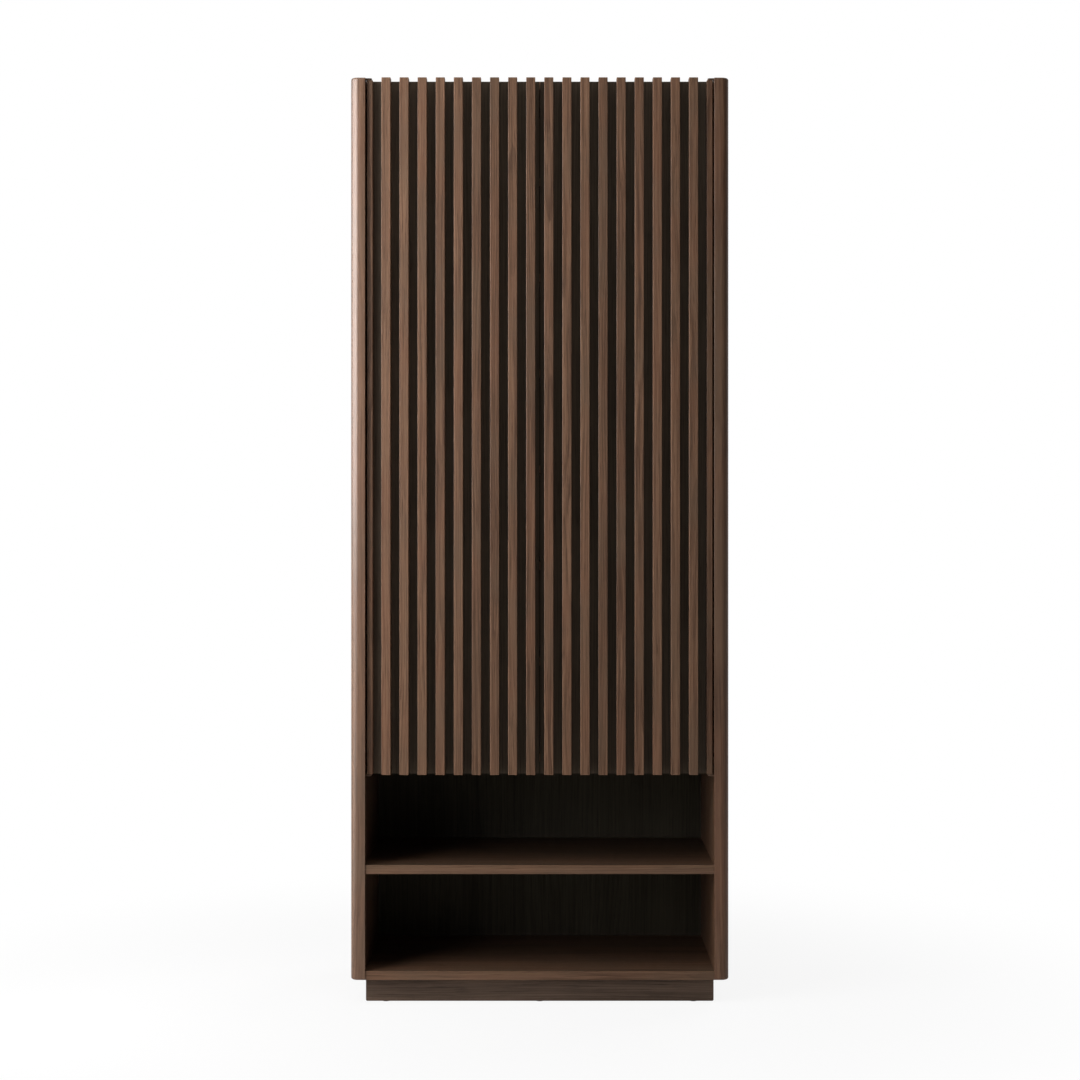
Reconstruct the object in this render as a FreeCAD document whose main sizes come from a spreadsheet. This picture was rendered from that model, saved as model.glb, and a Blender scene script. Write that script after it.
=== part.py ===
import FreeCAD, Part
import math
import os
import Sketcher

# Tall hall cupboard with two slatted doors above two open compartments, in millimetres.
# +X is to the viewer's right, +Y to the back and +Z up.
# The origin is on the floor, under the middle of the cupboard.

SLATS_PER_DOOR = 9
SHELF_COUNT = 6
SPARE_HOLES = 1     # spare support holes above and below each shelf

# Driving sizes: alias, value, meaning
SIZES = [
    ("overall_width", 750, "over the two side panels"),
    ("overall_depth", 380, "front of the slats to the back edge of the sides"),
    ("overall_height", 1836, "floor to the top of the sides"),
    ("side_thickness", 29, "side panel"),
    ("front_round", 15, "radius of the outer front edge of a side panel"),
    ("end_round", 4, "radius round the top and foot of a side panel"),
    ("arris", 1, "small rounding or chamfer on board and slat edges"),
    ("end_chamfer", 0.6, "chamfer round the ends of the slats"),
    ("board_thickness", 18, "top, divider, open shelf, bottom board and shelves"),
    ("plinth_height", 46, "floor to the underside of the bottom board"),
    ("plinth_recess", 20, "plinth front behind the front plane"),
    ("rail_thickness", 18, "plinth rail"),
    ("plinth_round", 3, "lower outer corners of the plinth"),
    ("glide_thickness", 1, "floor glide"),
    ("glide_diameter", 16, "floor glide"),
    ("glide_inset", 40, "outer glides from the inner face of the sides"),
    ("lower_opening", 192, "clear height of the lower open compartment"),
    ("upper_opening", 200, "clear height of the upper open compartment"),
    ("open_setback", 2.5, "open boards behind the front plane"),
    ("door_overhang", 21, "door foot below the divider, for the fingers"),
    ("panel_thickness", 18, "door panel"),
    ("panel_drop", 4, "door panel top below the slat tops"),
    ("slat_width", 18, "full slat"),
    ("slat_depth", 26, "full slat"),
    ("end_slat_width", 11.7, "narrow slat at the hinge edge"),
    ("end_slat_setback", 10, "narrow slat behind the full slats"),
    ("end_slat_relief", 1.5, "rounding of the narrow slat where it swings past the side"),
    ("side_gap", 2.5, "door edge to side panel"),
    ("meeting_gap", 2, "between the two doors"),
    ("meeting_bevel", 2, "leading edge of a door, back narrower than front"),
    ("closed_gap", 2, "door back to the front edges of the boards behind it"),
    ("back_thickness", 6, "back panel"),
    ("back_inset", 8, "back panel in front of the back edge of the sides"),
    ("groove_depth", 8, "groove for the back panel"),
    ("groove_play", 0.15, "back panel in its groove, each face"),
    ("back_play", 0.5, "back panel at its edges"),
    ("shelf_setback", 10, "adjustable shelf behind the fixed boards' front edge"),
    ("shelf_play", 1, "adjustable shelf to the side panel, each end"),
    ("shelf_back_play", 2, "adjustable shelf to the back panel"),
    ("peg_diameter", 5, "peg of a shelf support"),
    ("peg_length", 9, "peg of a shelf support, inside the side panel"),
    ("peg_play", 0.05, "peg in its hole, radial"),
    ("peg_end_play", 0.5, "end of the peg to the bottom of its hole"),
    ("peg_inset", 45, "support columns from the shelf's front and back edges"),
    ("spare_pitch", 32, "between support holes"),
    ("tongue_length", 9, "flat tongue of a shelf support"),
    ("tongue_width", 10, "flat tongue of a shelf support"),
    ("tongue_height", 6, "flat tongue of a shelf support"),
    ("dowel_diameter", 8, "dowel"),
    ("dowel_in_side", 15, "dowel length inside a side panel or a plinth rail"),
    ("dowel_in_board", 20, "dowel length inside the end of a board"),
    ("dowel_in_face", 10, "dowel length inside the underside of the bottom board"),
    ("dowel_play", 0.05, "dowel in its hole, radial"),
    ("dowel_end_play", 0.5, "dowel end to the bottom of its hole"),
    ("dowel_inset", 40, "rear dowel from the back panel"),
    ("dowel_front_inset", 60, "front dowel from the front edge of the top and divider boards"),
    ("rail_dowel_inset", 110, "outer plinth dowels from the inner face of the sides"),
    ("pivot_from_side", 7.5, "pivot axis to the inner face of the side"),
    ("pivot_from_front", 15, "pivot axis behind the front plane"),
    ("pin_diameter", 5, "pivot pin"),
    ("pin_reach", 18, "pivot pin below or above its bracket blade"),
    ("pin_play", 0.05, "pin in its bush, radial"),
    ("seat_play", 0.02, "bush in the slat and pin in the bracket, radial"),
    ("bush_diameter", 7.4, "pivot bush"),
    ("bush_length", 20, "pivot bush"),
    ("swing_play", 0.3, "door end to bracket blade, and catch to strike"),
    ("blade_thickness", 3.5, "bracket blade"),
    ("blade_radius", 4.9, "rounded end of the blade about the pivot"),
    ("leaf_thickness", 2.5, "bracket leaf let into the side"),
    ("leaf_height", 46, "bracket leaf"),
    ("leaf_depth", 30, "bracket leaf, front to back"),
    ("mortise_play", 0.1, "bracket leaf in its mortise"),
    ("screw_diameter", 3.5, "bracket screw shank"),
    ("screw_length", 16, "bracket screw"),
    ("screw_head", 7, "countersunk head diameter"),
    ("screw_play", 0.05, "screw in its holes, radial"),
    ("catch_width", 46, "magnetic catch"),
    ("catch_depth", 15, "magnetic catch"),
    ("catch_height", 13, "magnetic catch"),
    ("catch_from_middle", 60, "magnetic catch centre from the middle"),
    ("strike_width", 38, "strike plate"),
    ("strike_height", 11, "strike plate"),
    ("strike_thickness", 1.2, "strike plate"),
    ("bumper_diameter", 9, "door bumper"),
    ("bumper_thickness", 1.7, "door bumper"),
    ("bumper_from_middle", 130, "door bumper from the middle"),
]

doc = FreeCAD.newDocument("slatted_door_cupboard")
sheet = doc.addObject("Spreadsheet::Sheet", "Sizes")
for row, (alias, number, meaning) in enumerate(SIZES, start=1):
    sheet.set(f"A{row}", meaning)
    sheet.set(f"B{row}", str(number))
    sheet.setAlias(f"B{row}", alias)
doc.recompute()

# Derived places, as expressions on the sheet
INNER = "(Sizes.overall_width / 2 - Sizes.side_thickness)"
INNER_WIDTH = f"(2 * {INNER})"
FRONT = "(-Sizes.overall_depth / 2)"
BACK_FACE = "(Sizes.overall_depth / 2 - Sizes.back_inset - Sizes.back_thickness)"
SIDE_HEIGHT = "(Sizes.overall_height - Sizes.plinth_height)"
BOTTOM_TOP = "(Sizes.plinth_height + Sizes.board_thickness)"
OPEN_SHELF_UNDER = f"({BOTTOM_TOP} + Sizes.lower_opening)"
DIVIDER_UNDER = f"({OPEN_SHELF_UNDER} + Sizes.board_thickness + Sizes.upper_opening)"
DIVIDER_TOP = f"({DIVIDER_UNDER} + Sizes.board_thickness)"
TOP_UNDER = "(Sizes.overall_height - Sizes.board_thickness)"
DOOR_FOOT = f"({DIVIDER_UNDER} - Sizes.door_overhang)"
DOOR_FACE = f"({FRONT} + Sizes.slat_depth)"
DOOR_BACK = f"({DOOR_FACE} + Sizes.panel_thickness)"
BOARD_FRONT = f"({DOOR_BACK} + Sizes.closed_gap)"
OPEN_FRONT = f"({FRONT} + Sizes.open_setback)"
DOOR_EDGE = f"({INNER} - Sizes.side_gap)"
END_SLAT_EDGE = f"({DOOR_EDGE} - Sizes.end_slat_width)"
SLAT_GAP = f"(({END_SLAT_EDGE} - {SLATS_PER_DOOR} * Sizes.slat_width) / ({SLATS_PER_DOOR} + 0.5))"
SLAT_HEIGHT = f"(Sizes.overall_height - {DOOR_FOOT})"
PIVOT_X = f"({INNER} - Sizes.pivot_from_side)"
PIVOT_Y = f"({FRONT} + Sizes.pivot_from_front)"
UPPER_BLADE = "(Sizes.overall_height - Sizes.blade_thickness)"
LOWER_BLADE_TOP = f"({DOOR_FOOT} - Sizes.swing_play)"
LOWER_BLADE = f"({LOWER_BLADE_TOP} - Sizes.blade_thickness)"
END_SLAT_TOP = f"({UPPER_BLADE} - Sizes.swing_play)"
RAIL_HEIGHT = "(Sizes.plinth_height - Sizes.glide_thickness)"
FRONT_RAIL = f"({FRONT} + Sizes.plinth_recess)"
BACK_RAIL = f"({BACK_FACE} - Sizes.rail_thickness)"
SHELF_FRONT = f"({BOARD_FRONT} + Sizes.shelf_setback)"
SHELF_DEPTH = f"({BACK_FACE} - Sizes.shelf_back_play - {SHELF_FRONT})"
SHELF_SPACE = f"(({TOP_UNDER} - {DIVIDER_TOP} - {SHELF_COUNT} * Sizes.board_thickness) / {SHELF_COUNT + 1})"
CATCH_FRONT = f"({DOOR_BACK} + Sizes.strike_thickness + Sizes.swing_play)"
DOWEL_HOLE = "(Sizes.dowel_diameter + 2 * Sizes.dowel_play)"
PEG_HOLE = "(Sizes.peg_diameter + 2 * Sizes.peg_play)"
MID_BOARD = "Sizes.board_thickness / 2"

REAR_DOWEL = f"({BACK_FACE} - Sizes.dowel_inset)"
FRONT_DOWEL = f"({BOARD_FRONT} + Sizes.dowel_front_inset)"
DOWEL_ROWS = [REAR_DOWEL, f"(({REAR_DOWEL} + {FRONT_DOWEL}) / 2)", FRONT_DOWEL]
BOARD_LEVELS = ["Sizes.plinth_height", OPEN_SHELF_UNDER, DIVIDER_UNDER, TOP_UNDER]
SHELF_LEVELS = [f"({DIVIDER_TOP} + {step} * {SHELF_SPACE} + {step - 1} * Sizes.board_thickness)"
                for step in range(1, SHELF_COUNT + 1)]
PEG_COLUMNS = [f"({SHELF_FRONT} + Sizes.peg_inset)",
               f"({SHELF_FRONT} + {SHELF_DEPTH} - Sizes.peg_inset)"]
RAIL_DOWELS = [f"(-{INNER} + Sizes.rail_dowel_inset)", "0", f"({INNER} - Sizes.rail_dowel_inset)"]
LEAF_FRONT = f"({PIVOT_Y} - Sizes.blade_radius)"
SCREW_ROW = f"({LEAF_FRONT} + Sizes.leaf_depth / 2)"
SCREW_STEPS = [f"(Sizes.leaf_height * {share})" for share in (0.35, 0.75)]

TOLERANCE = 1e-6
ALONG_X = FreeCAD.Rotation(FreeCAD.Vector(0, 1, 0), 90)
ALONG_Y = FreeCAD.Rotation(FreeCAD.Vector(1, 0, 0), -90)

nodes = []


def value(expression):
    """Number that an expression on the sheet gives."""
    return float(sheet.evalExpression(expression))


def keep(piece):
    """Count a finished object as one piece of the cupboard."""
    nodes.append(piece)
    return piece


def place(piece, x, y, z):
    """Bind the place of an object to expressions on the sheet."""
    for axis, expression in zip("xyz", (x, y, z)):
        piece.setExpression(f"Placement.Base.{axis}", expression)


def new_body(label, x, y, z):
    """Empty body with its label and place."""
    body = doc.addObject("PartDesign::Body", label)
    body.Label = label
    place(body, x, y, z)
    return body


def new_sketch(body, name, role, offset="0"):
    """Sketch on one of the body's own origin planes, or at a distance from it."""
    sketch = body.newObject("Sketcher::SketchObject", name)
    plane = next(item for item in body.Origin.OriginFeatures if item.Role == role)
    sketch.AttachmentSupport = [(plane, "")]
    sketch.MapMode = "FlatFace"
    sketch.setExpression("AttachmentOffset.Base.z", offset)
    return sketch


def dimension(sketch, kind, references, expression):
    """Dimension in a sketch, bound to an expression."""
    index = sketch.addConstraint(Sketcher.Constraint(kind, *references, value(expression)))
    sketch.setExpression(f"Constraints[{index}]", expression)


def arc_between(start, end, radius):
    """Quarter arc that leaves start and reaches end anticlockwise."""
    chord = end - start
    middle = (start + end) / 2
    rise = math.sqrt(max(radius ** 2 - (chord.Length / 2) ** 2, 0))
    inward = FreeCAD.Vector(-chord.y, chord.x, 0).normalize()
    centre = middle + inward * rise
    first = math.atan2(start.y - centre.y, start.x - centre.x)
    last = math.atan2(end.y - centre.y, end.x - centre.x)
    circle = Part.Circle(centre, FreeCAD.Vector(0, 0, 1), radius)
    return Part.ArcOfCircle(circle, first, last)


def draw_outline(sketch, stops):
    """Closed outline, anticlockwise.

    Each stop is (u, v) for a straight run to the next stop, or (u, v, radius) for an arc to it.
    """
    spots = [FreeCAD.Vector(value(stop[0]), value(stop[1]), 0) for stop in stops]
    curves = []
    for index, stop in enumerate(stops):
        start = spots[index]
        end = spots[(index + 1) % len(spots)]
        if len(stop) == 3:
            curve = sketch.addGeometry(arc_between(start, end, value(stop[2])))
        else:
            curve = sketch.addGeometry(Part.LineSegment(start, end))
        curves.append(curve)
    for index, stop in enumerate(stops):
        following = curves[(index + 1) % len(curves)]
        sketch.addConstraint(Sketcher.Constraint("Coincident", curves[index], 2, following, 1))
        dimension(sketch, "DistanceX", (-1, 1, curves[index], 1), stop[0])
        dimension(sketch, "DistanceY", (-1, 1, curves[index], 1), stop[1])
        if len(stop) == 3:
            dimension(sketch, "Radius", (curves[index],), stop[2])


def draw_circles(sketch, centres, diameter):
    """Circles of one size."""
    for u, v in centres:
        middle = FreeCAD.Vector(value(u), value(v), 0)
        circle = sketch.addGeometry(Part.Circle(middle, FreeCAD.Vector(0, 0, 1), value(diameter) / 2))
        dimension(sketch, "DistanceX", (-1, 1, circle, 3), u)
        dimension(sketch, "DistanceY", (-1, 1, circle, 3), v)
        dimension(sketch, "Diameter", (circle,), diameter)


def rectangle(width, depth):
    """Outline of a plain board with one corner at the sketch's origin."""
    return [("0", "0"), (width, "0"), (width, depth), ("0", depth)]


def pad(body, name, outline, length, role="XY_Plane", offset="0"):
    """Solid from an outline."""
    sketch = new_sketch(body, f"{name}_outline", role, offset)
    draw_outline(sketch, outline)
    feature = body.newObject("PartDesign::Pad", name)
    feature.Profile = sketch
    feature.setExpression("Length", length)
    doc.recompute()
    return feature


def cut(body, name, sketch, depth, forward):
    """Pocket along the sketch's normal if forward, else against it; it has to take material away."""
    before = body.Shape.Volume
    pocket = body.newObject("PartDesign::Pocket", name)
    pocket.Profile = sketch
    pocket.Reversed = forward
    pocket.setExpression("Length", depth)
    doc.recompute()
    if before - body.Shape.Volume < TOLERANCE:
        raise RuntimeError(f"{name} of {body.Label} cuts nothing")
    return pocket


def drill(body, name, role, centres, diameter, depth, forward, offset="0"):
    """Blind round holes from a plane of the body."""
    sketch = new_sketch(body, f"{name}_centres", role, offset)
    draw_circles(sketch, centres, diameter)
    return cut(body, name, sketch, depth, forward)


def round_edges(body, name, feature, test, radius):
    """Fillet on those edges of a feature whose bounding box passes a test."""
    names = []
    for number, edge in enumerate(feature.Shape.Edges, start=1):
        if test(edge.BoundBox):
            names.append(f"Edge{number}")
    fillet = body.newObject("PartDesign::Fillet", name)
    fillet.Base = (feature, names)
    fillet.setExpression("Radius", radius)
    doc.recompute()
    return fillet


def ease_ends(body, feature):
    """Chamfer round the front and sides of both ends of an upright batten."""
    names = []
    for number, edge in enumerate(feature.Shape.Edges, start=1):
        box = edge.BoundBox
        if box.ZLength < TOLERANCE and box.YMax < TOLERANCE:
            names.append(f"Edge{number}")
    chamfer = body.newObject("PartDesign::Chamfer", "eased_ends")
    chamfer.Base = (feature, names)
    chamfer.setExpression("Size", "Sizes.end_chamfer")
    doc.recompute()


def block(name, size, x, y, z):
    """Plain box of three expressions."""
    box = doc.addObject("Part::Box", name)
    for side, expression in zip(("Length", "Width", "Height"), size):
        box.setExpression(side, expression)
    place(box, x, y, z)
    return box


def rod(name, diameter, length, x, y, z, turn=FreeCAD.Rotation()):
    """Plain cylinder that starts at a point and runs along Z, or along X or Y when turned."""
    cylinder = doc.addObject("Part::Cylinder", name)
    cylinder.setExpression("Radius", f"({diameter}) / 2")
    cylinder.setExpression("Height", length)
    cylinder.Placement = FreeCAD.Placement(FreeCAD.Vector(), turn)
    place(cylinder, x, y, z)
    return cylinder


def group(label, pieces):
    """Like pieces that share one node."""
    compound = doc.addObject("Part::Compound", label)
    compound.Label = label
    compound.Links = pieces
    return keep(compound)


def opposite(label, source):
    """Right-hand twin of a left-hand piece."""
    twin = doc.addObject("Part::Mirroring", label)
    twin.Label = label
    twin.Source = source
    twin.Normal = (1, 0, 0)
    twin.Base = (0, 0, 0)
    return keep(twin)


# Side panels

def make_side_panels():
    """Side with a quarter-round outer front edge, a groove, and holes on its inner face."""
    thick = "-Sizes.side_thickness"
    groove_start = f"({BACK_FACE} - {FRONT} - Sizes.groove_play)"
    groove_end = f"({groove_start} + Sizes.back_thickness + 2 * Sizes.groove_play)"
    body = new_body("left_side_panel", f"-{INNER}", FRONT, "Sizes.plinth_height")
    board = pad(body, "side", [
        (f"{thick} + Sizes.front_round", "0"),
        ("-Sizes.arris", "0"),
        ("0", "Sizes.arris"),
        ("0", groove_start),
        ("-Sizes.groove_depth", groove_start),
        ("-Sizes.groove_depth", groove_end),
        ("0", groove_end),
        ("0", "Sizes.overall_depth"),
        (thick, "Sizes.overall_depth"),
        (thick, "Sizes.front_round", "Sizes.front_round"),
    ], SIDE_HEIGHT)
    outside = value(thick) + TOLERANCE

    def on_rounded_end(box):
        level = box.ZLength < TOLERANCE
        front = box.YMax < TOLERANCE
        outer = box.XMax < outside
        corner = box.XMin < outside and box.YMin < TOLERANCE
        return level and (front or outer or corner)

    round_edges(body, "end_rounds", board, on_rounded_end, "Sizes.end_round")

    def from_front(depth):
        return f"({depth} - {FRONT})"

    def from_foot(level):
        return f"({level} - Sizes.plinth_height)"

    dowels = [(from_front(row), from_foot(f"{level} + {MID_BOARD}"))
              for level in BOARD_LEVELS for row in DOWEL_ROWS]
    drill(body, "dowel_holes", "YZ_Plane", dowels, DOWEL_HOLE,
          "Sizes.dowel_in_side + Sizes.dowel_end_play", False)
    pegs = [(from_front(column), from_foot(f"{level} - Sizes.tongue_height / 2 + {step} * Sizes.spare_pitch"))
            for level in SHELF_LEVELS for column in PEG_COLUMNS
            for step in range(-SPARE_HOLES, SPARE_HOLES + 1)]
    drill(body, "support_holes", "YZ_Plane", pegs, PEG_HOLE, "Sizes.peg_length + Sizes.peg_end_play", False)
    leaf_start = f"({from_front(LEAF_FRONT)} - Sizes.mortise_play)"
    leaf_end = f"({leaf_start} + Sizes.leaf_depth + 2 * Sizes.mortise_play)"
    upper_start = from_foot("Sizes.overall_height - Sizes.leaf_height - Sizes.mortise_play")
    lower_start = from_foot(f"{LOWER_BLADE} - Sizes.mortise_play")
    lower_end = f"({lower_start} + Sizes.leaf_height + 2 * Sizes.mortise_play)"
    for name, start, end in (("upper_mortise", upper_start, SIDE_HEIGHT),
                             ("lower_mortise", lower_start, lower_end)):
        sketch = new_sketch(body, f"{name}_outline", "YZ_Plane")
        draw_outline(sketch, [(leaf_start, start), (leaf_end, start), (leaf_end, end), (leaf_start, end)])
        cut(body, name, sketch, "Sizes.leaf_thickness", False)
    screws = [(from_front(SCREW_ROW), from_foot(f"Sizes.overall_height - {step}")) for step in SCREW_STEPS]
    screws += [(from_front(SCREW_ROW), from_foot(f"{LOWER_BLADE} + {step}")) for step in SCREW_STEPS]
    drill(body, "screw_holes", "YZ_Plane", screws, "Sizes.screw_diameter + 2 * Sizes.screw_play",
          "Sizes.screw_length + Sizes.dowel_end_play", False)
    keep(body)
    opposite("right_side_panel", body)


# Fixed boards

def make_board(label, front, level):
    """Board between the sides, with a rounded front edge and dowel holes in its ends."""
    depth = f"({BACK_FACE} - {front})"
    body = new_body(label, f"-{INNER}", front, level)
    slab = pad(body, "slab", rectangle(INNER_WIDTH, depth), "Sizes.board_thickness")
    round_edges(body, "front_arris", slab,
                lambda box: box.YMax < TOLERANCE and box.ZLength < TOLERANCE, "Sizes.arris")
    centres = [(f"({row} - {front})", MID_BOARD) for row in DOWEL_ROWS]
    length = "Sizes.dowel_in_board + Sizes.dowel_end_play"
    drill(body, "left_dowel_holes", "YZ_Plane", centres, DOWEL_HOLE, length, True)
    drill(body, "right_dowel_holes", "YZ_Plane", centres, DOWEL_HOLE, length, False, INNER_WIDTH)
    return keep(body)


def make_boards():
    """Top, divider, open shelf and bottom board."""
    make_board("top_board", BOARD_FRONT, TOP_UNDER)
    make_board("divider_board", BOARD_FRONT, DIVIDER_UNDER)
    make_board("open_shelf", OPEN_FRONT, OPEN_SHELF_UNDER)
    bottom = make_board("bottom_board", OPEN_FRONT, "Sizes.plinth_height")
    rows = [f"({rail} + Sizes.rail_thickness / 2 - {OPEN_FRONT})" for rail in (FRONT_RAIL, BACK_RAIL)]
    centres = [(f"({across} + {INNER})", row) for across in RAIL_DOWELS for row in rows]
    drill(bottom, "plinth_dowel_holes", "XY_Plane", centres, DOWEL_HOLE,
          "Sizes.dowel_in_face + Sizes.dowel_end_play", True)


def make_back_panels():
    """Two thin panels in the grooves of the sides, meeting behind the divider board."""
    half = f"({INNER} + Sizes.groove_depth - Sizes.back_play)"
    seam = f"({DIVIDER_UNDER} + {MID_BOARD})"
    lower = block("lower_back_panel", (f"2 * {half}", "Sizes.back_thickness", f"{seam} - Sizes.plinth_height"),
                  f"-{half}", BACK_FACE, "Sizes.plinth_height")
    upper_start = f"({seam} + Sizes.back_play)"
    upper = block("upper_back_panel",
                  (f"2 * {half}", "Sizes.back_thickness", f"Sizes.overall_height - {upper_start}"),
                  f"-{half}", BACK_FACE, upper_start)
    keep(lower)
    keep(upper)


# Plinth

def make_plinth():
    """Frame of four rails on glides, dowelled to the bottom board, its lower outer corners rounded."""
    for label, start in (("plinth_front_rail", FRONT_RAIL), ("plinth_back_rail", BACK_RAIL)):
        body = new_body(label, f"-{INNER}", start, "Sizes.glide_thickness")
        rail = pad(body, "rail", rectangle(INNER_WIDTH, "Sizes.rail_thickness"), RAIL_HEIGHT)
        round_edges(body, "end_rounds", rail,
                    lambda box: box.ZMax < TOLERANCE and box.YLength > TOLERANCE, "Sizes.plinth_round")
        centres = [(f"({across} + {INNER})", "Sizes.rail_thickness / 2") for across in RAIL_DOWELS]
        drill(body, "dowel_holes", "XY_Plane", centres, DOWEL_HOLE,
              "Sizes.dowel_in_side + Sizes.dowel_end_play", False, RAIL_HEIGHT)
        keep(body)
    start = f"({FRONT_RAIL} + Sizes.rail_thickness)"
    body = new_body("plinth_left_rail", f"-{INNER}", start, "Sizes.glide_thickness")
    rail = pad(body, "rail", rectangle("Sizes.rail_thickness", f"({BACK_RAIL} - {start})"), RAIL_HEIGHT)
    round_edges(body, "outer_round", rail,
                lambda box: box.ZMax < TOLERANCE and box.XMax < TOLERANCE, "Sizes.plinth_round")
    keep(body)
    opposite("plinth_right_rail", body)
    glides = []
    for rail in (FRONT_RAIL, BACK_RAIL):
        for across in (f"-{INNER} + Sizes.glide_inset", "0", f"{INNER} - Sizes.glide_inset"):
            glides.append(rod("glide", "Sizes.glide_diameter", "Sizes.glide_thickness",
                              across, f"{rail} + Sizes.rail_thickness / 2", "0"))
    group("floor_glides", glides)


def make_dowels():
    """Dowels between boards and sides, and between the plinth and the bottom board."""
    across_length = "Sizes.dowel_in_side + Sizes.dowel_in_board"
    upright_length = "Sizes.dowel_in_side + Sizes.dowel_in_face"
    starts = (f"-{INNER} - Sizes.dowel_in_side", f"{INNER} - Sizes.dowel_in_board")
    dowels = []
    for level in BOARD_LEVELS:
        for row in DOWEL_ROWS:
            for start in starts:
                dowels.append(rod("dowel", "Sizes.dowel_diameter", across_length,
                                  start, row, f"{level} + {MID_BOARD}", ALONG_X))
    for rail in (FRONT_RAIL, BACK_RAIL):
        for across in RAIL_DOWELS:
            dowels.append(rod("dowel", "Sizes.dowel_diameter", upright_length, across,
                              f"{rail} + Sizes.rail_thickness / 2",
                              "Sizes.plinth_height - Sizes.dowel_in_side"))
    group("dowels", dowels)


# Adjustable shelves behind the doors

def make_shelves():
    """Loose shelves, each on four supports with a peg in the side and a flat tongue."""
    length = f"({INNER_WIDTH} - 2 * Sizes.shelf_play)"
    supports = []
    for number, level in enumerate(SHELF_LEVELS, start=1):
        body = new_body(f"adjustable_shelf_{number}", f"-{INNER} + Sizes.shelf_play", SHELF_FRONT, level)
        slab = pad(body, "slab", rectangle(length, SHELF_DEPTH), "Sizes.board_thickness")
        round_edges(body, "front_arris", slab,
                    lambda box: box.YMax < TOLERANCE and box.ZLength < TOLERANCE, "Sizes.arris")
        keep(body)
        for column in PEG_COLUMNS:
            supports += make_supports(column, level)
    group("shelf_supports", supports)


def make_supports(column, level):
    """Left and right support under one end of a shelf."""
    tongue_foot = f"({level} - Sizes.tongue_height)"
    pair = []
    for tongue_start, peg_start in ((f"-{INNER}", f"-{INNER} - Sizes.peg_length"),
                                    (f"{INNER} - Sizes.tongue_length", INNER)):
        tongue = block("tongue", ("Sizes.tongue_length", "Sizes.tongue_width", "Sizes.tongue_height"),
                       tongue_start, f"{column} - Sizes.tongue_width / 2", tongue_foot)
        peg = rod("peg", "Sizes.peg_diameter", "Sizes.peg_length", peg_start, column,
                  f"{level} - Sizes.tongue_height / 2", ALONG_X)
        support = doc.addObject("Part::Fuse", "support")
        support.Base = tongue
        support.Tool = peg
        pair.append(support)
    return pair


# Doors

def make_door_panels():
    """Dark panel behind the slats, with a bevelled leading edge."""
    width = f"({DOOR_EDGE} - Sizes.meeting_gap / 2)"
    body = new_body("left_door_panel", f"-{DOOR_EDGE}", DOOR_FACE, DOOR_FOOT)
    pad(body, "panel", [
        ("0", "0"),
        (width, "0"),
        (f"{width} - Sizes.meeting_bevel", "Sizes.panel_thickness"),
        ("0", "Sizes.panel_thickness"),
    ], f"Sizes.overall_height - Sizes.panel_drop - {DOOR_FOOT}")
    keep(body)
    opposite("right_door_panel", body)


def batten_outline(width, depth, outer_round, inner_round):
    """Batten in plan, its front corners rounded and its back flat."""
    return [
        (outer_round, "0"),
        (f"{width} - {inner_round}", "0", inner_round),
        (width, inner_round),
        (width, depth),
        ("0", depth),
        ("0", outer_round, outer_round),
    ]


def make_slats():
    """Full slats, numbered from the hinge edge, evenly spaced up to the middle of the cupboard."""
    for number in range(1, SLATS_PER_DOOR + 1):
        gaps = number
        widths = number - 1
        start = f"(-{END_SLAT_EDGE} + {gaps} * {SLAT_GAP} + {widths} * Sizes.slat_width)"
        body = new_body(f"left_slat_{number}", start, FRONT, DOOR_FOOT)
        outline = batten_outline("Sizes.slat_width", "Sizes.slat_depth", "Sizes.arris", "Sizes.arris")
        ease_ends(body, pad(body, "slat", outline, SLAT_HEIGHT))
        keep(body)
        opposite(f"right_slat_{number}", body)


def make_end_slats():
    """Narrow set-back slat at the hinge edge, bored at both ends for the pivot bushes."""
    height = f"({END_SLAT_TOP} - {DOOR_FOOT})"
    body = new_body("left_end_slat", f"-{DOOR_EDGE}", f"{FRONT} + Sizes.end_slat_setback", DOOR_FOOT)
    outline = batten_outline("Sizes.end_slat_width", "Sizes.slat_depth - Sizes.end_slat_setback",
                             "Sizes.end_slat_relief", "Sizes.arris")
    ease_ends(body, pad(body, "slat", outline, height))
    axis = [(f"({DOOR_EDGE} - {PIVOT_X})", "(Sizes.pivot_from_front - Sizes.end_slat_setback)")]
    bore = "Sizes.bush_diameter + 2 * Sizes.seat_play"
    drill(body, "foot_bore", "XY_Plane", axis, bore, "Sizes.bush_length", True)
    drill(body, "top_bore", "XY_Plane", axis, bore, "Sizes.bush_length", False, height)
    keep(body)
    opposite("right_end_slat", body)


# Pivots

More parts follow.
